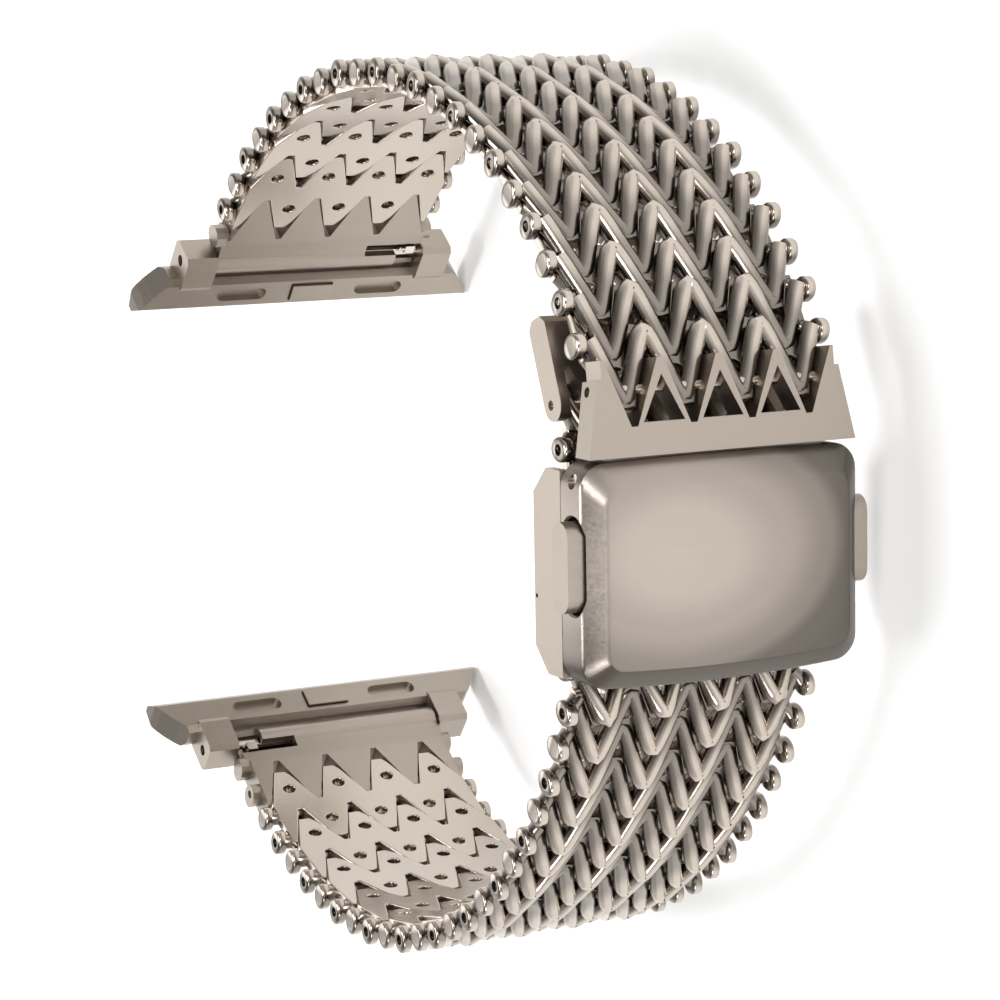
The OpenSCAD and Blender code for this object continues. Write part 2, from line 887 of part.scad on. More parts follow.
module catch_spring() {
    floor_n = -tongue_t / 2 + catch_depth;
    top_n = -tongue_t / 2 - catch_out + catch_t + catch_travel;
    color(bright)
        translate([catch_s, floor_n, 0])
            rotate([90, 0, 0])
                ring_rod(catch_size.x / 2 - slide_gap, catch_size.x / 2 - slide_gap - spring_wall, 0, floor_n - top_n);
}

for (k = [1 : upper_links])
    upper_link(k);
for (k = [1 : lower_links])
    lower_link(k);
for (k = [1 : channel_links])
    channel_link(k);
tail_link();
tail_cap();
tail_cap_pin();
tail_magnet();
upper_end_piece();
upper_mesh_pin();
end_piece_hinge_pin();
clasp_cover();
clasp_base();
cover_magnets();
base_magnets();
button(0);  // button_left
button(1);  // button_right
button_spring(0);  // button_spring_left
button_spring(1);  // button_spring_right
lock_lever();
lever_pins();
at_upper_end() end_bar(-1, false);  // upper_end_bar
at_upper_end() spring_bar();  // upper_spring_bar
at_upper_end() release_pin();  // upper_release_pin
at_upper_end() release_spring();  // upper_release_spring
at_upper_end() adapter();  // upper_adapter
at_upper_end() lock_catch();  // upper_lock_catch
at_upper_end() catch_spring();  // upper_catch_spring
at_lower_end() end_bar(1, true);  // lower_end_bar
at_lower_end() color(shade) link_pin();  // lower_mesh_pin
at_lower_end() spring_bar();  // lower_spring_bar
at_lower_end() release_pin();  // lower_release_pin
at_lower_end() release_spring();  // lower_release_spring
at_lower_end() adapter();  // lower_adapter
at_lower_end() lock_catch();  // lower_lock_catch
at_lower_end() catch_spring();  // lower_catch_spring
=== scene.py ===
# Woven metal watch band with a box clasp, standing on its side edge.
# Lengths in this script are millimetres until MM turns them into the frame's metres.
import json
import math

import bmesh
import bpy
from mathutils import Matrix, Vector


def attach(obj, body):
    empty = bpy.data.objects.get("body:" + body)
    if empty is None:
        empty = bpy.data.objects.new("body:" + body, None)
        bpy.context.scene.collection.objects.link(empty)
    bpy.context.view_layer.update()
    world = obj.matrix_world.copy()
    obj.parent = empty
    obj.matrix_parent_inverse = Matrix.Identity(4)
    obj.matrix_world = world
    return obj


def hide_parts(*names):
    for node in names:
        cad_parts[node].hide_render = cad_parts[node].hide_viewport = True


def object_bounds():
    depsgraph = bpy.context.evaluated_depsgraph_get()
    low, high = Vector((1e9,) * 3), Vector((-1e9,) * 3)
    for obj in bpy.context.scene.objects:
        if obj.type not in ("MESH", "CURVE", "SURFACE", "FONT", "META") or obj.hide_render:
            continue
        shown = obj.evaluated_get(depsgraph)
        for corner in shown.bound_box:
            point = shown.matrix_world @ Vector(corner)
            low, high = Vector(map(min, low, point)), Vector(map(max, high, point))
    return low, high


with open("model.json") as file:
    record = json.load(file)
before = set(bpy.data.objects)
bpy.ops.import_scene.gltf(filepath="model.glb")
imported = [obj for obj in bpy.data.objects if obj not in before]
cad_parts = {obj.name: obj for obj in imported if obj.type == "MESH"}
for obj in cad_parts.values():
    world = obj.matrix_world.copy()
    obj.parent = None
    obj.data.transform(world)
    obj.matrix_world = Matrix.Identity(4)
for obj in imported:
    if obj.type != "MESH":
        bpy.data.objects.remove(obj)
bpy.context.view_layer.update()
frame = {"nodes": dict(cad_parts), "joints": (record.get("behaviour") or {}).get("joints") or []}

MM = 0.001

# Mesh sizes. In a link, u runs along the strap from its pin, n outwards from the pin and z across.
LINKS = 11
CHANNEL_LINKS = 3
UPPER_ROW = 3.34
LOWER_ROW = 3.06
MESH_W = 18.8
COLUMNS = 8
COLUMN_STEP = MESH_W / COLUMNS
V_DEPTH = 4.6

# Heights of the mesh: its middle stands LEVEL outside the pins
MESH_HALF = 1.2
LEVEL = 0.25
TOP_N = MESH_HALF + LEVEL
INNER_N = -MESH_HALF + LEVEL

# Wires: half their height, the height of their sunk ends, and half the room left to the next row
WIRE_HIGH = 0.62
WIRE_LOW_N = -0.35
WIRE_GAP = 0.18
WIRE_END_INSET = 0.35
NECK_WIDE = 0.55

# Rounded stubs at the band's edges, with a pin hole in every second one
STUB_OUT_Z = MESH_W / 2 + 0.85
STUB_ALONG = 0.9
STUB_HIGH = 1.1
PIN_HOLE_R = 0.42

# Inner plates of the links
PLATE_GAP = 0.2
PLATE_THICK = 0.95
FINGER_CUT = 0.75
FINGER_TIP_HALF = 0.24

# Clasp cover: half its width and height, its depth, and its bevels' depth and widths
HALF_W = 11.2
HALF_H = 8.0
COVER_D = 4.3
BEVEL_D = 1.5
BEVEL_Y = 1.95
BEVEL_Z = 1.45
LOW_BEVEL_SHARE = 0.72
CORNER_R = 1.8
DOME = 0.32
COVER_WALL = 1.2
TOP_BOW = 0.02
BOTTOM_BOW = 0.055
END_PIECE_PIN_R = 0.52
END_PIECE_ROOM = 1.15

# Push buttons and the room round them
BUTTON_X = -2.65
BUTTON_Y = 0.8
BUTTON_L = 6.3
BUTTON_W = 2.2
BUTTON_ROOM = 0.25

# Edges of the solid pieces
EDGE_ROUNDING = 0.14


def new_object(name, mesh):
    """Object in the scene that shows a mesh."""
    piece = bpy.data.objects.new(name, mesh)
    bpy.context.scene.collection.objects.link(piece)
    return piece


def mesh_from(name, points, faces):
    """Mesh from points in millimetres, its faces all turned outwards."""
    shape = bmesh.new()
    corners = [shape.verts.new(Vector(p) * MM) for p in points]
    for face in faces:
        shape.faces.new([corners[i] for i in face])
    bmesh.ops.recalc_face_normals(shape, faces=shape.faces)
    mesh = bpy.data.meshes.new(name)
    shape.to_mesh(mesh)
    shape.free()
    return mesh


def loft(rings, close_start=True, close_end=True):
    """Points and faces of a skin over rings with equal point counts."""
    count = len(rings[0])
    points = [p for ring in rings for p in ring]
    faces = []
    for r in range(len(rings) - 1):
        for i in range(count):
            j = (i + 1) % count
            faces.append((r * count + i, r * count + j, (r + 1) * count + j, (r + 1) * count + i))
    if close_start:
        faces.append(tuple(range(count)))
    if close_end:
        faces.append(tuple((len(rings) - 1) * count + i for i in range(count)))
    return points, faces


def joined(parts):
    """One list of points and faces from several."""
    points = []
    faces = []
    for part_points, part_faces in parts:
        start = len(points)
        points += part_points
        faces += [tuple(start + i for i in face) for face in part_faces]
    return points, faces


def smooth(mesh, angle=50):
    """Smooth shading, with edges sharper than an angle in degrees kept crisp."""
    mesh.shade_smooth()
    mesh.set_sharp_from_angle(angle=math.radians(angle))


# Mesh links

def wave(z):
    """Rounded zigzag across the band, from -1 at the valleys to 1 at the tips of the Vs."""
    sharp = 0.93
    return -math.asin(sharp * math.cos(math.pi * z / COLUMN_STEP)) / math.asin(sharp)


def tube(path, wide, high, sides=10):
    """Skin of an oval tube along a path of (u, n, z) points."""
    rings = []
    for i, centre in enumerate(path):
        ahead = Vector(path[min(i + 1, len(path) - 1)])
        behind = Vector(path[max(i - 1, 0)])
        along = (ahead - behind).normalized()
        up = Vector((0, 1, 0))
        up = (up - along * up.dot(along)).normalized()
        across = along.cross(up)
        rings.append([
            Vector(centre) + across * wide * math.cos(a) + up * high * math.sin(a)
            for a in [2 * math.pi * k / sides for k in range(sides)]
        ])
    return loft(rings)


def strand(middle, pitch, high_way):
    """One zigzag wire: raised where its Vs point high_way, sunk at their other ends."""
    slant = COLUMN_STEP / math.hypot(COLUMN_STEP, V_DEPTH)
    wide = (pitch / 2 - WIRE_GAP) * slant
    steps_per_column = 10
    end_z = MESH_W / 2 - WIRE_END_INSET
    count = COLUMNS * steps_per_column
    high_n = TOP_N - WIRE_HIGH
    path = []
    for i in range(count + 1):
        z = -end_z + 2 * end_z * i / count
        w = wave(z)
        raised = (high_way * w + 1) / 2
        path.append((middle + w * V_DEPTH / 2, WIRE_LOW_N + (high_n - WIRE_LOW_N) * raised, z))
    return tube(path, wide, WIRE_HIGH)


def oval(u, z, scale, along=STUB_ALONG, high=STUB_HIGH, sides=20):
    """Ring of a stub at z, round the pin axis at u."""
    return [
        (u + scale * along * math.cos(a), LEVEL + scale * high * math.sin(a), z)
        for a in [2 * math.pi * k / sides for k in range(sides)]
    ]


def stub(u, side, open_end):
    """Rounded end of a row at the band's edge, with a pin hole where open_end is set."""
    back = MESH_W / 2 + 0.02
    # Shares of the full size, and depths outwards from the back
    rim = [(0.62, 0.0), (0.92, 0.06), (1.0, 0.16), (1.0, 0.66), (0.95, 0.77), (0.86, 0.83)]
    rings = [oval(u, side * (back + depth), scale) for scale, depth in rim]
    if open_end:
        hole_depths = (0, 0.06, 0.4)
        rings += [oval(u, side * (STUB_OUT_Z - depth), 1, PIN_HOLE_R, PIN_HOLE_R) for depth in hole_depths]
    else:
        rings += [oval(u, side * (STUB_OUT_Z - 0.01), 0.6), oval(u, side * STUB_OUT_Z, 0.25)]
    return loft(rings)


def neck(pitch, u, side):
    """Short bent wire between a row's end and its stub at u."""
    start_inset = 0.5
    end_reach = 0.2
    bend = 0.12
    start = Vector((u + pitch / 2 - V_DEPTH / 2, WIRE_LOW_N, side * (MESH_W / 2 - start_inset)))
    end = Vector((u, LEVEL, side * (MESH_W / 2 + end_reach)))
    middle = (start + end) / 2 + Vector((0, 0, side * bend))
    return tube([start, middle, end], NECK_WIDE, WIRE_HIGH)


def link_shell(rows, pitch, high_way):
    """The strands of a link, and its stubs where it has more than one row."""
    parts = [strand((row + 0.5) * pitch, pitch, high_way) for row in range(rows)]
    if rows > 1:
        for row in range(rows):
            for side in (-1, 1):
                parts.append(stub(row * pitch, side, open_end=(row == 0)))
                parts.append(neck(pitch, row * pitch, side))
    return joined(parts)


def slit_points(u, tips_cut, toward):
    """Zigzag edge of a plate; the fingers that point toward -1 or 1 are cut short."""
    depth = V_DEPTH / 2
    corner_share = 0.985
    points = []
    for i in range(COLUMNS + 1):
        z = -MESH_W / 2 + i * COLUMN_STEP
        way = -1 if i % 2 == 0 else 1
        cut = tips_cut if way == toward else 0.0
        half = FINGER_TIP_HALF + cut * COLUMN_STEP / V_DEPTH
        for side in (-1, 1):
            if abs(z + side * half) < MESH_W / 2:
                points.append((u + way * (depth - cut), z + side * half))
        if i in (0, COLUMNS):
            points.append((u + way * (depth - cut), z * corner_share))
    return sorted(points, key=lambda p: p[1])


def circle_points(u, z, along, across, sides=14):
    """Outline of an oval hole round (u, z)."""
    return [
        (u + along * math.cos(a), z + across * math.sin(a))
        for a in [2 * math.pi * k / sides for k in range(sides)]
    ]


def plate_mesh(name, outline, holes, low, high, rounding=0.1):
    """Flat plate with softly rounded edges between two heights n."""
    curve = bpy.data.curves.new(name + "_curve", "CURVE")
    curve.dimensions = "2D"
    curve.fill_mode = "BOTH"
    curve.bevel_depth = rounding * MM
    curve.bevel_resolution = 2
    curve.extrude = ((high - low) / 2 - rounding) * MM
    curve.offset = -rounding * MM
    for loop in [outline] + holes:
        spline = curve.splines.new("POLY")
        spline.points.add(len(loop) - 1)
        for point, (u, z) in zip(spline.points, loop):
            point.co = (u * MM, z * MM, 0, 1)
        spline.use_cyclic_u = True
    source = bpy.data.objects.new(name + "_source", curve)
    bpy.context.scene.collection.objects.link(source)
    bpy.context.view_layer.update()
    mesh = bpy.data.meshes.new_from_object(source.evaluated_get(bpy.context.evaluated_depsgraph_get()))
    bpy.data.objects.remove(source)
    stand_up = Matrix(((1, 0, 0, 0), (0, 0, 1, (low + high) / 2 * MM), (0, 1, 0, 0), (0, 0, 0, 1)))
    mesh.transform(stand_up)
    mesh.flip_normals()
    mesh.name = name
    return mesh


def link_plate(name, rows, pitch):
    """The ground inner layer of a link, with holes in its middle row."""
    low_edge = slit_points(PLATE_GAP, FINGER_CUT, -1)
    high_edge = slit_points(rows * pitch - PLATE_GAP, FINGER_CUT, 1)
    outline = low_edge + high_edge[::-1]
    hole_along = 0.5
    hole_across = 0.55
    tip_share = 0.92
    holes = []
    for row in range(1, rows):
        for i in range(1, COLUMNS):
            way = -1 if i % 2 == 0 else 1
            z = -MESH_W / 2 + i * COLUMN_STEP
            u = row * pitch + way * V_DEPTH / 2 * tip_share
            holes.append(circle_points(u, z, hole_along, hole_across))
    return plate_mesh(name, outline, holes, INNER_N, INNER_N + PLATE_THICK)


def merged(name, meshes):
    """One mesh from several."""
    shape = bmesh.new()
    for mesh in meshes:
        shape.from_mesh(mesh)
    result = bpy.data.meshes.new(name)
    shape.to_mesh(result)
    shape.free()
    return result


def link_mesh(name, rows, pitch, high_way):
    """Whole mesh of a link: its wires, stubs and inner plate."""
    points, faces = link_shell(rows, pitch, high_way)
    plate = link_plate(name + "_plate", rows, pitch)
    mesh = merged(name, [mesh_from(name + "_wires", points, faces), plate])
    smooth(mesh)
    return mesh


def joint_place(child):
    """Pin axis on which a body turns, in metres."""
    for joint in frame["joints"]:
        if joint["child"] == child:
            return Vector(joint["pos_m"])
    raise ValueError(child)


def link_matrix(origin, towards):
    """Stands a link at a pin, running towards another, its outer side away from the wrist."""
    along = (towards - origin).normalized()
    across = Vector((0, 0, 1))
    outward = across.cross(along)
    return Matrix((
        (along.x, outward.x, across.x, origin.x),
        (along.y, outward.y, across.y, origin.y),
        (along.z, outward.z, across.z, origin.z),
        (0, 0, 0, 1),
    ))


def place_link(name, mesh, body, origin, towards):
    """Shows a woven link in place of the node of that name, riding on a body."""
    piece = new_object("woven_" + name, mesh)
    piece.matrix_world = link_matrix(origin, towards)
    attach(piece, body)
    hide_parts(name)
    return piece


# Materials

def metal(name, colour, roughness, grain, grain_depth, stretch=(1, 1, 1), tint=0.06):
    """Metal with fine grain, uneven polish, slight colour drift and a painted highlight along its sharp
    edges.
    """
    drift_scale = 90
    bump_height = 0.00002
    edge_gleam_from = 0.52
    edge_gleam_full = 0.62
    edge_gleam_share = 0.35
    edge_gleam_brightness = 1.25
    material = bpy.data.materials.new(name)
    material.use_nodes = True
    nodes = material.node_tree.nodes
    links = material.node_tree.links
    shader = nodes["Principled BSDF"]
    shader.inputs["Metallic"].default_value = 1.0
    place = nodes.new("ShaderNodeTexCoord")
    stretching = nodes.new("ShaderNodeMapping")
    stretching.inputs["Scale"].default_value = stretch
    links.new(place.outputs["Object"], stretching.inputs["Vector"])
    fine = nodes.new("ShaderNodeTexNoise")
    fine.inputs["Scale"].default_value = grain
    fine.inputs["Detail"].default_value = 6
    links.new(stretching.outputs["Vector"], fine.inputs["Vector"])
    broad = nodes.new("ShaderNodeTexNoise")
    broad.inputs["Scale"].default_value = drift_scale
    broad.inputs["Detail"].default_value = 3
    links.new(place.outputs["Object"], broad.inputs["Vector"])
    polish = nodes.new("ShaderNodeMapRange")
    polish.inputs["To Min"].default_value = roughness * 0.75
    polish.inputs["To Max"].default_value = roughness * 1.3
    links.new(fine.outputs["Fac"], polish.inputs["Value"])
    links.new(polish.outputs["Result"], shader.inputs["Roughness"])
    drift = nodes.new("ShaderNodeMix")
    drift.data_type = "RGBA"
    drift.inputs["A"].default_value = (*[c * (1 - tint) for c in colour], 1)
    drift.inputs["B"].default_value = (*[min(1, c * (1 + tint)) for c in colour], 1)
    links.new(broad.outputs["Fac"], drift.inputs["Factor"])
    # Painted highlight: the colour is brightened along sharp convex edges
    edges = nodes.new("ShaderNodeNewGeometry")
    edge_range = nodes.new("ShaderNodeMapRange")
    edge_range.inputs["From Min"].default_value = edge_gleam_from
    edge_range.inputs["From Max"].default_value = edge_gleam_full
    edge_range.inputs["To Max"].default_value = edge_gleam_share
    links.new(edges.outputs["Pointiness"], edge_range.inputs["Value"])
    edge_gleam = nodes.new("ShaderNodeMix")
    edge_gleam.data_type = "RGBA"
    edge_gleam.inputs["B"].default_value = (*[min(1, c * edge_gleam_brightness) for c in colour], 1)
    links.new(edge_range.outputs["Result"], edge_gleam.inputs["Factor"])
    links.new(drift.outputs["Result"], edge_gleam.inputs["A"])
    links.new(edge_gleam.outputs["Result"], shader.inputs["Base Color"])
    bump = nodes.new("ShaderNodeBump")
    bump.inputs["Strength"].default_value = grain_depth
    bump.inputs["Distance"].default_value = bump_height
    links.new(fine.outputs["Fac"], bump.inputs["Height"])
    links.new(bump.outputs["Normal"], shader.inputs["Normal"])
    return material


def shade_along(material, value, stops):
    """Multiplies the colour by shades that follow a value, given as (value, shade) stops."""
    nodes = material.node_tree.nodes
    links = material.node_tree.links
    first = stops[0][0]
    last = stops[-1][0]
    span = nodes.new("ShaderNodeMapRange")
    span.inputs["From Min"].default_value = first * MM
    span.inputs["From Max"].default_value = last * MM
    links.new(value, span.inputs["Value"])
    shades = nodes.new("ShaderNodeValToRGB")
    ramp = shades.color_ramp
    ramp.interpolation = "EASE"
    ramp.elements.remove(ramp.elements[1])
    for at, shade in stops:
        stop = ramp.elements[0] if at == first else ramp.elements.new((at - first) / (last - first))
        stop.color = (shade, shade, shade, 1)
    links.new(span.outputs["Result"], shades.inputs["Fac"])
    shader = nodes["Principled BSDF"]
    shaded = nodes.new("ShaderNodeMix")
    shaded.data_type = "RGBA"
    shaded.blend_type = "MULTIPLY"
    shaded.inputs["Factor"].default_value = 1
    links.new(shader.inputs["Base Color"].links[0].from_socket, shaded.inputs["A"])
    links.new(shades.outputs["Color"], shaded.inputs["B"])
    links.new(shaded.outputs["Result"], shader.inputs["Base Color"])


def paint_recess_shade(material):
    """Painted shade: darkens the woven wires' colour at their middle heights, in the recesses between
    them; both faces of a link stay light.
    """
    place = material.node_tree.nodes.new("ShaderNodeTexCoord")
    axes = material.node_tree.nodes.new("ShaderNodeSeparateXYZ")
    material.node_tree.links.new(place.outputs["Object"], axes.inputs["Vector"])
    shade_along(material, axes.outputs["Y"],
                [(INNER_N, 1.0), (-0.4, 1.0), (-0.05, 0.38), (0.6, 0.5), (1.15, 1.0), (TOP_N, 1.0)])


def paint_rim_shade(material):
    """Painted light and shade on the domed cover: full colour round a spot off its middle, painted shade
    deepening towards its rim.
    """
    nodes = material.node_tree.nodes
    links = material.node_tree.links
    bright_y = 1.5
    bright_z = 4
    wider = 1.5
    place = nodes.new("ShaderNodeTexCoord")
    squeeze = nodes.new("ShaderNodeMapping")
    squeeze.inputs["Location"].default_value = (0, -bright_y * MM, -bright_z / wider * MM)
    squeeze.inputs["Scale"].default_value = (0, 1, 1 / wider)
    links.new(place.outputs["Object"], squeeze.inputs["Vector"])
    distance = nodes.new("ShaderNodeVectorMath")
    distance.operation = "LENGTH"
    links.new(squeeze.outputs["Vector"], distance.inputs[0])
    shade_along(material, distance.outputs["Value"],
                [(0, 1.0), (2.5, 0.98), (5.5, 0.77), (8.0, 0.54), (9.2, 0.33), (11.0, 0.3)])


# Each metal: colour, roughness, scale and depth of its grain, and the stretch of a brushed one
ACROSS_BRUSH = (1, 1, 0.03)
woven_metal = metal("woven_metal", (0.48, 0.422, 0.365), 0.2, 2500, 0.15)
# Painted shade in the recesses between the woven wires
paint_recess_shade(woven_metal)
brushed_metal = metal("brushed_metal", (0.34, 0.296, 0.252), 0.36, 5000, 0.35, ACROSS_BRUSH)
cover_metal = metal("cover_metal", (0.43, 0.378, 0.33), 0.36, 5000, 0.35, ACROSS_BRUSH)
# Painted light and shade on the cover: lighter round a spot off its middle, darker towards the rim
paint_rim_shade(cover_metal)
# Near-black copy of the cover's metal, painted shade for its bevels that face down and to the right
shaded_bevel_metal = metal("shaded_bevel_metal", (0.1, 0.086, 0.072), 0.3, 5000, 0.35, ACROSS_BRUSH)
pin_metal = metal("pin_metal", (0.42, 0.37, 0.32), 0.22, 3000, 0.1)
bar_metal = metal("bar_metal", (0.58, 0.53, 0.47), 0.18, 3000, 0.1, ACROSS_BRUSH)
magnet_metal = metal("magnet_metal", (0.30, 0.30, 0.31), 0.4, 2000, 0.2)


def dress(piece, material):
    """Gives a piece one material in place of any it has."""
    piece.data.materials.clear()
    piece.data.materials.append(material)


# Straps

upper_mesh = link_mesh("upper_mesh", 2, UPPER_ROW, -1)
lower_mesh = link_mesh("lower_mesh", 2, LOWER_ROW, 1)
short_mesh = link_mesh("short_mesh", 1, LOWER_ROW, 1)


def number(k):
    """Two-digit number, as in the nodes' names."""
    return f"{k:02d}"


def pin_places(strap):
    """Pin axes of a strap's links in order, then of its end bar."""
    bodies = [f"{strap}_link_{number(k)}" for k in range(1, LINKS + 1)] + [f"{strap}_end_bar"]
    return [joint_place(body) for body in bodies]


upper_pins = pin_places("upper")
lower_pins = pin_places("lower")
woven = []
for k in range(1, LINKS + 1):
    name = f"upper_link_{number(k)}"
    woven.append(place_link(name, upper_mesh, name, upper_pins[k], upper_pins[k - 1]))
    name = f"lower_link_{number(k)}"
    woven.append(place_link(name, lower_mesh, name, lower_pins[k - 1], lower_pins[k]))

# The strap's end in the clasp's channel, and the short link above it
channel_top = joint_place("tail_link")
DOWN = Vector((0, -1, 0))
for k in range(1, CHANNEL_LINKS + 1):
    start = channel_top + DOWN * (k - 1) * 2 * LOWER_ROW * MM
    woven.append(place_link(f"channel_link_{number(k)}", lower_mesh, "clasp", start, start + DOWN))
woven.append(place_link("tail_link", short_mesh, "tail_link", joint_place("tail_cap"), channel_top))
for piece in woven:
    dress(piece, woven_metal)


# Clasp cover

def rounded_outline(half_y, half_z, radius, arc_steps=8, side_steps=12):
    """Points (y, z) round a rectangle with rounded corners."""
    arcs = []
    for corner, (sy, sz) in enumerate(((1, 1), (1, -1), (-1, -1), (-1, 1))):
        centre_y = sy * (half_y - radius)
        centre_z = sz * (half_z - radius)
        angles = [math.radians(90 * (corner + i / arc_steps)) for i in range(arc_steps + 1)]
        arcs.append([(centre_y + radius * math.sin(a), centre_z + radius * math.cos(a)) for a in angles])
    points = []
    for arc, following in zip(arcs, arcs[1:] + arcs[:1]):
        points += arc
        start = Vector(arc[-1])
        end = Vector(following[0])
        points += [tuple(start.lerp(end, i / side_steps)) for i in range(1, side_steps)]
    return points


def cover_ring(x, inset_y, inset_z, radius):
    """Outline of the cover at a depth x; its top and bottom edges are bowed, the bottom more."""
    half_z = HALF_W - inset_z
    half_y = HALF_H - inset_y
    ring = []
    for y, z in rounded_outline(half_y, half_z, radius):
        bow = TOP_BOW
        if y < 0:
            bow = BOTTOM_BOW
            y *= (HALF_H - LOW_BEVEL_SHARE * inset_y) / half_y
        ring.append((x, y * (1 - bow * (z / half_z) ** 2), z))
    return ring


def cover_shell():
    """Front cover: straight walls, rounded bevels and a shallow dome in front, hollow at the back."""
    wall = COVER_WALL
    levels = 10
    # Depth, insets from the top and the sides, and corner radius, from inside the back to the front
    rings = [
        cover_ring(-COVER_D + 1.5, wall, wall, CORNER_R - 0.6),
        cover_ring(-COVER_D + 0.1, wall, wall, CORNER_R - 0.6),
        cover_ring(-COVER_D, wall - 0.1, wall - 0.1, CORNER_R - 0.6),
        cover_ring(-COVER_D, 0.1, 0.1, CORNER_R - 0.1),
        cover_ring(-COVER_D + 0.1, 0, 0, CORNER_R),
        cover_ring(-BEVEL_D - 0.2, 0, 0, CORNER_R),
        cover_ring(-BEVEL_D - 0.05, 0.05, 0.04, CORNER_R),
        cover_ring(-BEVEL_D + 0.1, 0.22, 0.17, CORNER_R),
        cover_ring(-DOME - 0.15, BEVEL_Y - 0.3, BEVEL_Z - 0.22, CORNER_R - 0.5),
        cover_ring(-DOME - 0.02, BEVEL_Y - 0.05, BEVEL_Z - 0.03, CORNER_R - 0.6),
        cover_ring(-DOME + 0.02, BEVEL_Y + 0.2, BEVEL_Z + 0.15, CORNER_R - 0.7),
    ]
    edge = rings[-1]
    for level in range(1, levels):
        left = 1 - level / levels
        rings.append([(x * left ** 2, y * left, z * left) for x, y, z in edge])
    return loft(rings)


def cut_away(name, mesh, cutters):
    """The mesh with the cutters' shapes taken out of it."""
    body = new_object(name + "_body", mesh)
    tools = []
    for i, (points, faces) in enumerate(cutters):
        tool = new_object(f"{name}_cutter_{i}", mesh_from(f"{name}_cutter_{i}", points, faces))
        cut = body.modifiers.new(tool.name, "BOOLEAN")
        cut.operation = "DIFFERENCE"
        cut.solver = "EXACT"
        cut.object = tool
        tools.append(tool)
    bpy.context.view_layer.update()
    result = bpy.data.meshes.new_from_object(body.evaluated_get(bpy.context.evaluated_depsgraph_get()))
    result.name = name
    for made in tools + [body]:
        bpy.data.objects.remove(made)
    return result


def block(low, high):
    """Points and faces of a box."""
    ends = [[(x, low[1], low[2]), (x, high[1], low[2]), (x, high[1], high[2]), (x, low[1], high[2])]
            for x in (low[0], high[0])]
    return loft(ends)


def button_cutter(side):
    """Rounded opening for a push button, with a small bevel at its mouth."""
    half_w = BUTTON_W / 2 + BUTTON_ROOM
    half_l = BUTTON_L / 2 + BUTTON_ROOM
    mouth_w = 1.12
    mouth_l = 1.05
    outline = [(BUTTON_X + y, BUTTON_Y + z) for y, z in
               rounded_outline(half_w, half_l, BUTTON_W / 2 + 0.24, side_steps=2)]
    wide = [(BUTTON_X + (x - BUTTON_X) * mouth_w, BUTTON_Y + (y - BUTTON_Y) * mouth_l) for x, y in outline]
    depths = ((HALF_W - 3, outline), (HALF_W - 0.15, outline), (HALF_W + 0.05, wide), (HALF_W + 1, wide))
    return loft([[(x, y, side * z) for x, y in ring] for z, ring in depths])


def hole_cutter(x, y, radius, sides=20):
    """Round bar through the whole width of the clasp."""
    angles = [2 * math.pi * k / sides for k in range(sides)]
    return loft([
        [(x + radius * math.cos(a), y + radius * math.sin(a), z) for a in angles]
        for z in (-HALF_W - 1, HALF_W + 1)
    ])


points, faces = cover_shell()
hinge = joint_place("upper_end_piece") / MM
cover_mesh = cut_away("cover", mesh_from("cover", points, faces), [
    button_cutter(1),
    button_cutter(-1),
    hole_cutter(hinge.x, hinge.y, END_PIECE_PIN_R),
    block((-COVER_D - 1, hinge.y - END_PIECE_ROOM, -9), (-1.6, HALF_H + 1, 9)),
])
smooth(cover_mesh, 28)
cover = new_object("domed_cover", cover_mesh)
dress(cover, cover_metal)
cover.data.materials.append(shaded_bevel_metal)

# Painted shade: the bevels that face down and to the right take a near-black copy of the cover's metal
FACES_FRONT = 0.2
FACES_AWAY = -0.3
for face in cover.data.polygons:
    if face.normal.x > FACES_FRONT and min(face.normal.y, face.normal.z) < FACES_AWAY:
        face.material_index = 1
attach(cover, "clasp")
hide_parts("clasp_cover")

# Pieces that show the solids themselves
for name in ("clasp_base", "upper_end_piece", "tail_cap", "lock_lever", "button_left", "button_right",
             "upper_end_bar", "lower_end_bar", "upper_adapter", "lower_adapter",
             "upper_lock_catch", "lower_lock_catch"):
    node = frame["nodes"][name]
    dress(node, brushed_metal)
    rounding = node.modifiers.new("soft_edges", "BEVEL")
    rounding.width = EDGE_ROUNDING * MM
    rounding.segments = 3
    rounding.limit_method = "ANGLE"
    rounding.angle_limit = math.radians(35)
    rounding.harden_normals = False
for name in ("upper_mesh_pin", "lower_mesh_pin", "tail_cap_pin", "end_piece_hinge_pin", "lever_pins"):
    dress(frame["nodes"][name], pin_metal)
for name in ("upper_spring_bar", "lower_spring_bar", "upper_release_pin", "lower_release_pin",
             "upper_release_spring", "lower_release_spring",
             "upper_catch_spring", "lower_catch_spring", "button_spring_left", "button_spring_right"):
    dress(frame["nodes"][name], bar_metal)
for name in ("cover_magnets", "base_magnets", "tail_magnet"):
    dress(frame["nodes"][name], magnet_metal)

# Floor, light and background

def shows_background(tree):
    """Socket that is 1 on rays from the camera, in gloss and through glass."""
    path = tree.nodes.new("ShaderNodeLightPath")
    total = path.outputs["Is Camera Ray"]
    for ray in ("Is Glossy Ray", "Is Transmission Ray"):
        either = tree.nodes.new("ShaderNodeMath")
        either.operation = "MAXIMUM"
        tree.links.new(total, either.inputs[0])
        tree.links.new(path.outputs[ray], either.inputs[1])
        total = either.outputs["Value"]
    return total


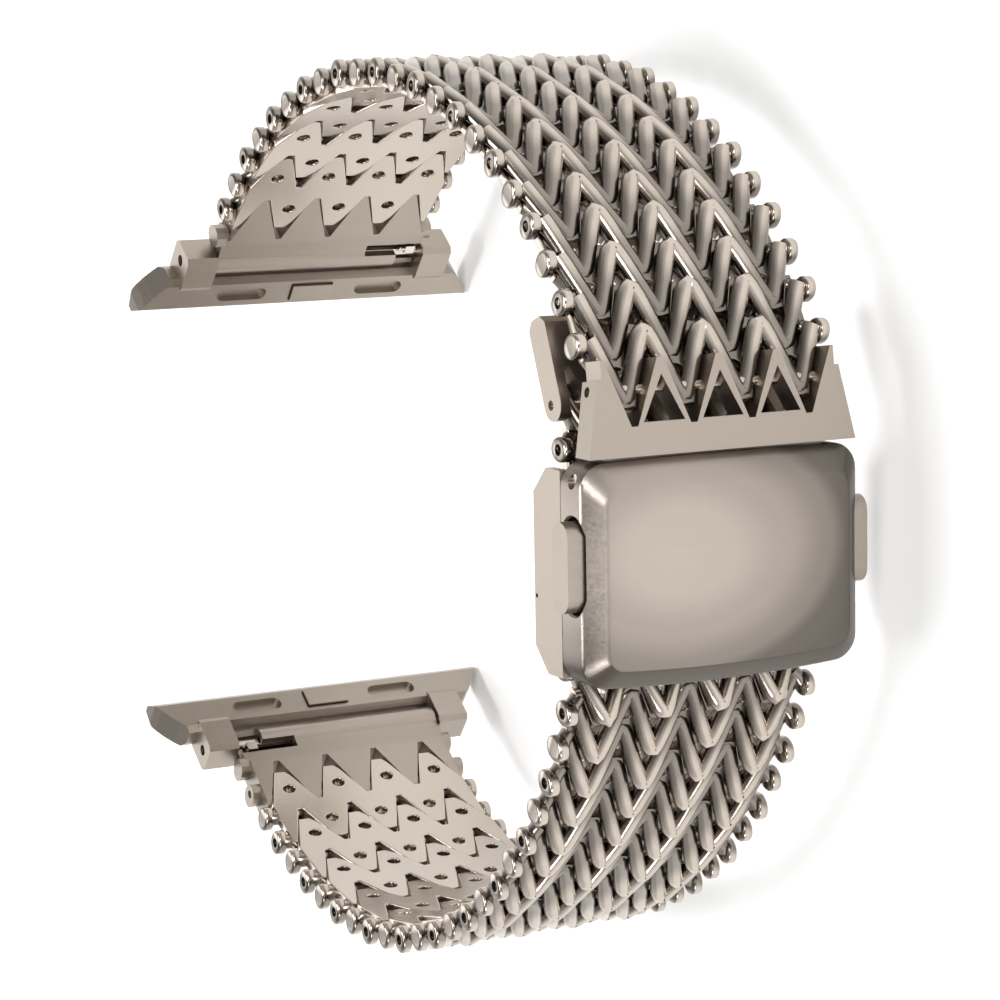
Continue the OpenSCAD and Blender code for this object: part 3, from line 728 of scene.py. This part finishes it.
def white_for_camera(name, diffuse, glow):
    """Pale floor that shows white to the camera and in gloss, and still takes shadows."""
    material = bpy.data.materials.new(name)
    material.use_nodes = True
    nodes = material.node_tree.nodes
    links = material.node_tree.links
    shader = nodes["Principled BSDF"]
    shader.inputs["Base Color"].default_value = (diffuse, diffuse, diffuse, 1)
    shader.inputs["Roughness"].default_value = 0.9
    shader.inputs["Emission Color"].default_value = (1, 1, 1, 1)
    seen = nodes.new("ShaderNodeMath")
    seen.operation = "MULTIPLY"
    seen.inputs[1].default_value = glow
    links.new(shows_background(material.node_tree), seen.inputs[0])
    links.new(seen.outputs["Value"], shader.inputs["Emission Strength"])
    return material


floor_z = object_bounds()[0][2] / MM
floor_half = 1500
floor_corners = ((-1, -1), (1, -1), (1, 1), (-1, 1))
floor_points = [(x * floor_half, y * floor_half, floor_z) for x, y in floor_corners]
floor = new_object("floor", mesh_from("floor", floor_points, [(0, 1, 2, 3)]))
dress(floor, white_for_camera("white_floor", 0.82, 0.2))

# Even grey light from the world, which shows as a pale sky that is darker overhead
world = bpy.data.worlds.new("studio")
bpy.context.scene.world = world
world.use_nodes = True
tree = world.node_tree
background = tree.nodes["Background"]
pick = tree.nodes.new("ShaderNodeMix")
pick.data_type = "RGBA"
pick.inputs["A"].default_value = (0.35, 0.35, 0.35, 1)
direction = tree.nodes.new("ShaderNodeTexCoord")
axes = tree.nodes.new("ShaderNodeSeparateXYZ")
tree.links.new(direction.outputs["Generated"], axes.inputs["Vector"])
ceiling = tree.nodes.new("ShaderNodeMapRange")
ceiling.inputs["From Min"].default_value = 0.1
ceiling.inputs["From Max"].default_value = 0.75
ceiling.inputs["To Min"].default_value = 1.0
ceiling.inputs["To Max"].default_value = 0.2
tree.links.new(axes.outputs["Z"], ceiling.inputs["Value"])
tree.links.new(ceiling.outputs["Result"], pick.inputs["B"])
tree.links.new(shows_background(tree), pick.inputs["Factor"])
tree.links.new(pick.outputs["Result"], background.inputs["Color"])


def soft_light(name, towards, distance, size, power):
    """Area light at a direction from the middle of the band, facing it."""
    lamp = bpy.data.lights.new(name, "AREA")
    lamp.shape = "DISK"
    lamp.size = size
    lamp.energy = power
    holder = bpy.data.objects.new(name, lamp)
    way = Vector(towards).normalized()
    middle = Vector((-0.03, 0, 0))
    holder.location = middle + way * distance
    holder.rotation_euler = way.to_track_quat("Z", "Y").to_euler()
    bpy.context.scene.collection.objects.link(holder)


# The two gleams stand where the wires' raised legs mirror them to the camera
soft_light("key", (-0.15, 0.0, 0.99), 0.5, 0.26, 2.0)
soft_light("upper_gleam", (0.77, 0.3, 0.6), 0.5, 0.16, 0.85)
soft_light("lower_gleam", (0.66, -0.53, 0.55), 0.5, 0.16, 0.85)
soft_light("back", (-0.82, -0.1, 0.55), 0.7, 0.4, 0.6)

# Camera at the photograph's angle, fitted to the mesh's and the adapters' widths
CAMERA_PLACE = Vector((170.5, 33.2, 107.8)) * MM
CAMERA_BACK = Vector((0.8764, 0.1385, 0.4612)).normalized()
CAMERA_UP = Vector((-0.1137, 0.9902, -0.0813))
FOCAL_SHARE = 2.9618
SENSOR = 36
lens = bpy.data.cameras.new("photo_view")
lens.sensor_width = SENSOR
lens.lens = SENSOR * FOCAL_SHARE
lens.clip_start = 0.01
viewer = bpy.data.objects.new("photo_view", lens)
right = CAMERA_UP.cross(CAMERA_BACK).normalized()
up = CAMERA_BACK.cross(right)
viewer.matrix_world = Matrix((
    (right.x, up.x, CAMERA_BACK.x, CAMERA_PLACE.x),
    (right.y, up.y, CAMERA_BACK.y, CAMERA_PLACE.y),
    (right.z, up.z, CAMERA_BACK.z, CAMERA_PLACE.z),
    (0, 0, 0, 1),
))
bpy.context.scene.collection.objects.link(viewer)
bpy.context.scene.camera = viewer
bpy.context.scene.view_settings.view_transform = "Standard"
